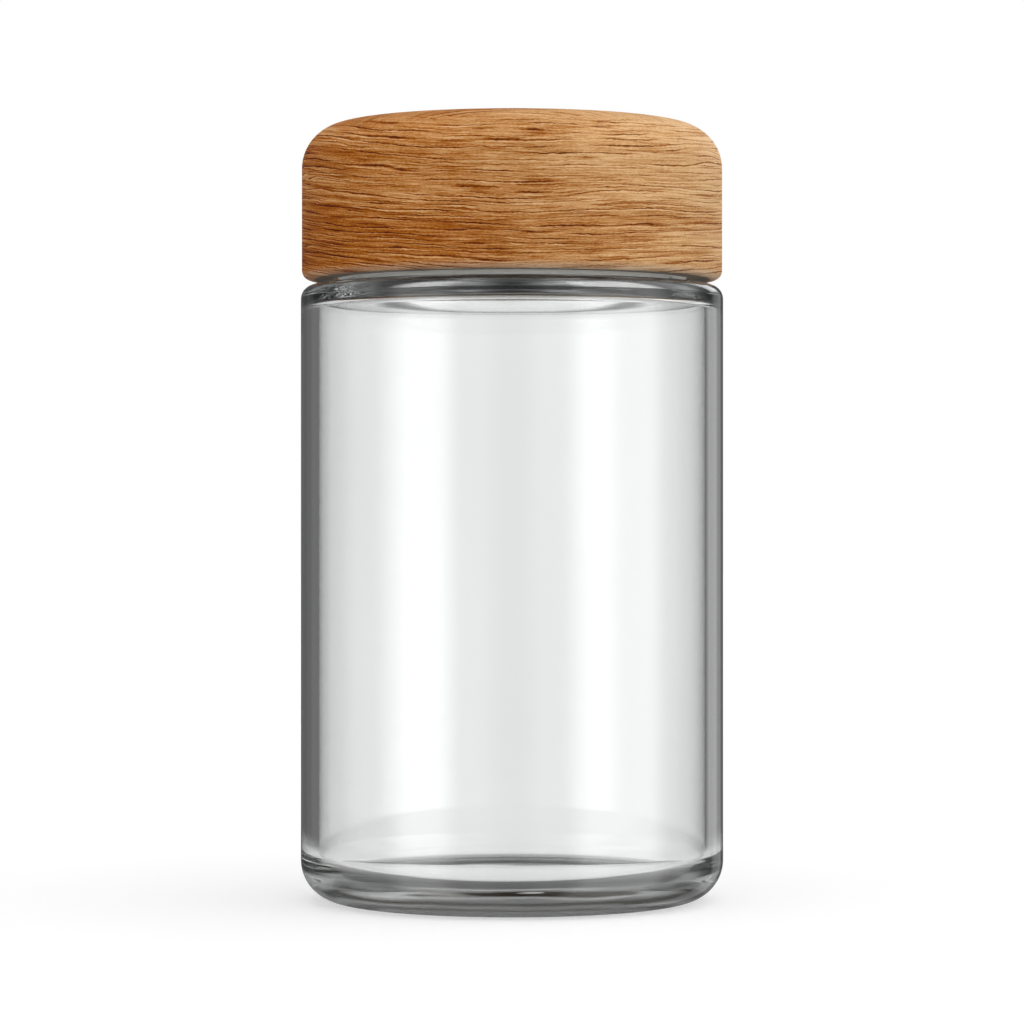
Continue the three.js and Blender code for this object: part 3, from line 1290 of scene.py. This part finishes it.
@dataclass
class DriveShell:
    """The plastic shell bonded into the wood, with drive lugs and a snap bead. Heights are from the rim."""

    radius: float = 34.5
    bore: float = 32.5
    bottom: float = -11.55
    ceiling: float = 7.2
    top: float = 9.2
    edge: float = 0.4
    snap_radius: float = 31.4
    snap: float = 0.2
    snap_height: float = 0.8
    lip_radius: float = 31.5
    lip_height: float = 1.0
    pocket_inner: float = 17.6
    pocket_outer: float = 22.8
    pocket_start: float = 24.0
    pocket_sweep: float = 19.5
    pocket_depth: float = 0.7
    pockets: int = 6
    lugs: LugRing = field(
        default_factory=lambda: LugRing(base=RIM + 7.2, rise=-1.95, centre=15.0, ramp=Ramp.TRAILING)
    )
    finish: MouldedPlastic = MouldedPlastic(
        "shell_plastic", pale=srgb(245, 242, 236), deep=srgb(238, 234, 226), roughness=0.46
    )

    def sink_pockets(self, piece: bpy.types.Object) -> None:
        """Sinks the pockets that the spring's fingers sit in.

        Args:
            piece: The plain shell.
        """
        spacing = 360 / self.pockets
        centre = self.pocket_start + self.pocket_sweep / 2

        def on_ceiling(middle: Vector, normal: Vector) -> bool:
            """Whether a face is the mouth of a pocket.

            Args:
                middle: The face's middle.
                normal: The face's normal.

            Returns:
                True for a mouth.
            """
            round_it = abs(off_centre(angle_of(middle), centre, spacing)) < self.pocket_sweep / 2
            level = abs(middle.z / MM - RIM - self.ceiling) < NEAR and normal.z < -FACING
            return round_it and level and self.pocket_inner < radius_of(middle) < self.pocket_outer

        choose_faces(piece, on_ceiling)
        bpy.ops.mesh.extrude_region_move(TRANSFORM_OT_translate={"value": (0, 0, self.pocket_depth * MM)})
        weld(piece)

    def build(self) -> None:
        """Builds and dresses the shell."""
        snap_low = self.snap - self.snap_height
        lip_top = self.bottom + self.lip_height
        pen = Profile("drive_shell_lining", 0.0, self.ceiling, RIM)
        for radius in (self.pocket_inner, self.pocket_outer, self.lugs.inner_radius, self.lugs.outer_radius):
            pen.line(radius, self.ceiling)
        pen.line(self.bore, self.ceiling)
        pen.line(self.bore, self.snap)
        pen.line(self.snap_radius, self.snap)
        pen.line(self.snap_radius, snap_low)
        pen.line(self.bore, snap_low - (self.bore - self.snap_radius))
        pen.line(self.bore, lip_top + self.bore - self.lip_radius, steps=3)
        pen.line(self.lip_radius, lip_top)
        pen.line(self.lip_radius, self.bottom + self.edge)
        pen.line(self.lip_radius + self.edge, self.bottom)
        pen.line(self.radius - self.edge, self.bottom)
        pen.line(self.radius, self.bottom + self.edge)
        pen.line(self.radius, self.top - self.edge, steps=4)
        pen.line(self.radius - self.edge, self.top)
        pen.line(0.0, self.top, steps=4)
        piece = pen.turned()
        self.sink_pockets(piece)
        self.lugs.raise_on(piece)
        round_edges(piece)
        hand_over(piece, self.finish, "outer_cap", "drive_shell")


@dataclass
class WoodenCap:
    """The turned wooden overcap with a crowned top. Heights are from the rim."""

    radius: float = 41.3
    bottom: float = -11.7
    bottom_round: float = 1.8
    top: float = 20.3
    corner_round: float = 8.7
    crown_radius: float = 360.0
    bore: float = 34.8
    bore_top: float = 9.5
    bore_edge: float = 0.3
    finish: TurnedWood = TurnedWood()

    def build(self) -> None:
        """Builds and dresses the wooden cap."""
        crown_centre = self.top - self.crown_radius
        corner_centre = self.radius - self.corner_round
        reach = self.crown_radius - self.corner_round
        corner_height = crown_centre + sqrt(reach**2 - corner_centre**2)
        crown_angle = atan2(corner_height - crown_centre, corner_centre)
        pen = Profile("wooden_cap", 0.0, self.bore_top, RIM)
        pen.line(self.bore, self.bore_top, steps=4)
        pen.line(self.bore, self.bottom + self.bore_edge, steps=6)
        pen.line(self.bore + self.bore_edge, self.bottom)
        pen.line(self.radius - self.bottom_round, self.bottom, steps=3)
        pen.arc(self.radius - self.bottom_round, self.bottom + self.bottom_round, pi / 2, steps=10)
        pen.line(self.radius, corner_height, steps=10)
        pen.arc(corner_centre, corner_height, crown_angle, steps=36)
        pen.arc(0.0, crown_centre, pi / 2 - crown_angle, steps=16)
        piece = pen.turned()
        shade(piece)
        hand_over(piece, self.finish, "outer_cap", "wood_cap")


@dataclass(frozen=True)
class SoftBox:
    """A tall soft box: its middle, half width and soft edge, in degrees from the camera, and brightness."""

    middle: float
    half: float
    edge: float
    brightness: float

    def shine(self, azimuth: Value) -> Value:
        """Its brightness in a direction round the jar.

        Args:
            azimuth: The direction, in radians from the camera.

        Returns:
            The brightness.
        """
        beside = abs(azimuth - radians(self.middle))
        past_edge = beside.step(radians(self.half - self.edge), radians(self.half + self.edge))
        return self.brightness * (1 - past_edge)


@dataclass
class Studio:
    """A pale floor, soft light all round, and a level camera with a long lens."""

    camera_back: float = 0.765
    camera_height: float = 0.0763
    lens: float = 136.6
    camera_reach: float = 80.0
    floor_size: float = 8.0
    floor_drop: float = 0.00015
    floor_colour: Colour = (0.62, 0.62, 0.62, 1.0)
    floor_lift: float = 0.46
    floor_white: float = 0.95
    # Painted shadow: in what the glass shows, the floor is dark under the jar and just behind it.
    floor_painted_shadow: float = 0.12
    shadow_under_reach: float = 0.034
    shadow_under_fade: float = 0.02
    behind: float = 0.09
    behind_fade: float = 0.04
    table: float = 0.1
    table_fade: float = 0.03
    fill: float = 0.80
    key: float = 0.46
    key_from: Triple = (0.62, -0.62, 0.48)
    surround: float = 0.12
    overhead: float = 0.15
    overhead_within: float = 0.8
    level_band: float = 0.15
    overhead_fade: float = 0.2
    zenith: float = 0.75
    enclosed: float = 1.02
    boxes: tuple[SoftBox, ...] = (
        SoftBox(-51.0, 15.0, 9.0, 1.7),
        SoftBox(63.0, 26.0, 9.0, 1.9),
        SoftBox(-24.0, 12.0, 9.0, 0.35),
        SoftBox(24.0, 12.0, 9.0, 0.35),
        SoftBox(108.0, 14.0, 9.0, 0.3),
        SoftBox(150.0, 9.0, 4.0, 0.38),
        SoftBox(-143.0, 6.0, 4.0, 0.08),
    )
    box_fade: float = 0.7
    box_top: float = 0.95
    box_gain: float = 5.0
    box_gain_fade: float = 0.1
    bounces: int = 24

    def build(self) -> None:
        """Sets the stage, the light and the camera."""
        self.lay_floor()
        self.light()
        self.place_camera()
        scene = bpy.context.scene
        scene.view_settings.view_transform = "Standard"
        scene.cycles.max_bounces = self.bounces
        scene.cycles.glossy_bounces = self.bounces
        scene.cycles.transmission_bounces = self.bounces

    def lay_floor(self) -> None:
        """Lays the floor, which mirror images leave out, apart from what the glass shows near the jar, where
        a shadow is painted under and just behind the jar.
        """
        deselect()
        bpy.ops.mesh.primitive_plane_add(size=self.floor_size, location=(0, 0, -self.floor_drop))
        floor = bpy.context.active_object
        floor.name = "floor"
        material = bpy.data.materials.new("pale_floor")
        material.use_nodes = True
        graph = Graph(material.node_tree)
        matt = graph.node("ShaderNodeBsdfDiffuse", {}, {"Color": self.floor_colour})
        lift = self.floor_lift * graph.ray("Is Camera Ray")
        glow = graph.node("ShaderNodeEmission", {}, {"Strength": lift})
        lit = graph.node("ShaderNodeAddShader", {}, {0: matt, 1: glow})
        x, y, _ = graph.parts(graph.place())
        away = from_axis(x, y)
        far = away.step(self.behind, self.behind + self.behind_fade)
        bounced = graph.ray("Glossy Depth").at_least(1)
        through = graph.ray("Transmission Depth").at_least(1)
        mirrored = self.mirrored(graph)
        # Painted shadow under and just behind the jar, in what the glass shows.
        painted_shadow_under = mirrored * (1 - away.step(self.shadow_under_reach, self.shadow_under_reach + self.shadow_under_fade))
        beside = (bounced - mirrored) * (1 - far) * y.step(0.0, self.table_fade)
        white = self.floor_white - (self.floor_white - self.floor_painted_shadow) * (painted_shadow_under + beside)
        plain = graph.node("ShaderNodeEmission", {}, {"Strength": white})
        direct = graph.node("ShaderNodeMixShader", {}, {0: through, 1: lit, 2: plain})
        table = through * (1 - away.step(self.table, self.table + self.table_fade))
        hidden = mirrored * (1 - table) + (bounced - mirrored) * far
        clear = graph.node("ShaderNodeBsdfTransparent", {}, {})
        shown = graph.node("ShaderNodeMixShader", {}, {0: hidden, 1: direct, 2: clear})
        graph.node("ShaderNodeOutputMaterial", {}, {"Surface": shown})
        floor.data.materials.append(material)

    @staticmethod
    def mirrored(graph: Graph) -> Value:
        """1 for what polished faces mirror, else 0. What one face inside the jar mirrors doesn't count.

        Args:
            graph: The graph that asks.

        Returns:
            1 or 0.
        """
        bounces = graph.ray("Glossy Depth")
        inside = graph.ray("Transmission Depth").at_least(3)
        return bounces.at_least(1) * (1 - inside * (1 - bounces.at_least(2)))

    def seen_directly(self, graph: Graph) -> Value:
        """How white the background is where the camera sees it, straight or through clear glass, else 0.

        Args:
            graph: The graph that asks.

        Returns:
            The brightness.
        """
        bounced = graph.ray("Glossy Depth").at_least(1)
        through = self.floor_white * graph.ray("Is Transmission Ray") * (1 - bounced)
        return graph.ray("Is Camera Ray").largest(through)

    def light(self) -> None:
        """Lights the scene: white behind, soft light on surfaces, and soft boxes in mirror images."""
        world = bpy.data.worlds.new("studio")
        bpy.context.scene.world = world
        world.use_nodes = True
        graph = Graph(world.node_tree)
        x, y, z = graph.parts(graph.node("ShaderNodeTexCoord", {}, {}, "Generated"))
        key_x, key_y, key_z = self.key_from
        soft = self.fill + self.key * (key_x * x + key_y * y + key_z * z)
        azimuth = x.math("ARCTAN2", x, 0 - y)
        boxes = self.boxes[0].shine(azimuth)
        for box in self.boxes[1:]:
            boxes = boxes + box.shine(azimuth)
        boxes = boxes * (1 - abs(z).step(self.box_fade, self.box_top))
        above = z.step(self.level_band, self.level_band + self.overhead_fade)
        above = above * (1 - z.step(self.zenith, self.zenith + self.overhead_fade))
        within = graph.ray("Transmission Depth").at_least(1)
        roof = self.overhead + within * (self.overhead_within - self.overhead)
        room = self.surround + above * (roof - self.surround)
        raised = z.step(self.level_band, self.level_band + self.box_gain_fade)
        boxes = boxes * (1 + self.box_gain * (1 - within) * raised)
        mirror = self.enclosed + self.mirrored(graph) * (room - self.enclosed) + boxes
        seen = self.seen_directly(graph)
        glossy = graph.ray("Is Glossy Ray") * (1 - seen)
        strength = seen + (1 - seen.above(0.5)) * (glossy * mirror + (1 - glossy) * soft)
        background = graph.node("ShaderNodeBackground", {}, {"Color": WHITE, "Strength": strength})
        graph.node("ShaderNodeOutputWorld", {}, {"Surface": background})

    def place_camera(self) -> None:
        """Puts the camera level with the middle of the jar."""
        data = bpy.data.cameras.new("camera")
        data.lens = self.lens
        data.clip_end = self.camera_reach
        camera = bpy.data.objects.new("camera", data)
        camera.location = (0, -self.camera_back, self.camera_height)
        camera.rotation_euler = (pi / 2, 0, 0)
        bpy.context.scene.collection.objects.link(camera)
        bpy.context.scene.camera = camera


def main() -> None:
    """Builds the jar from the glass up, and then the studio."""
    logging.basicConfig(level=logging.INFO, format="%(message)s")
    for part in (GlassJar(), SealLiner(), InnerCap(), SpringDisc(), DriveShell(), WoodenCap(), Studio()):
        part.build()


if __name__ == "__main__":
    main()
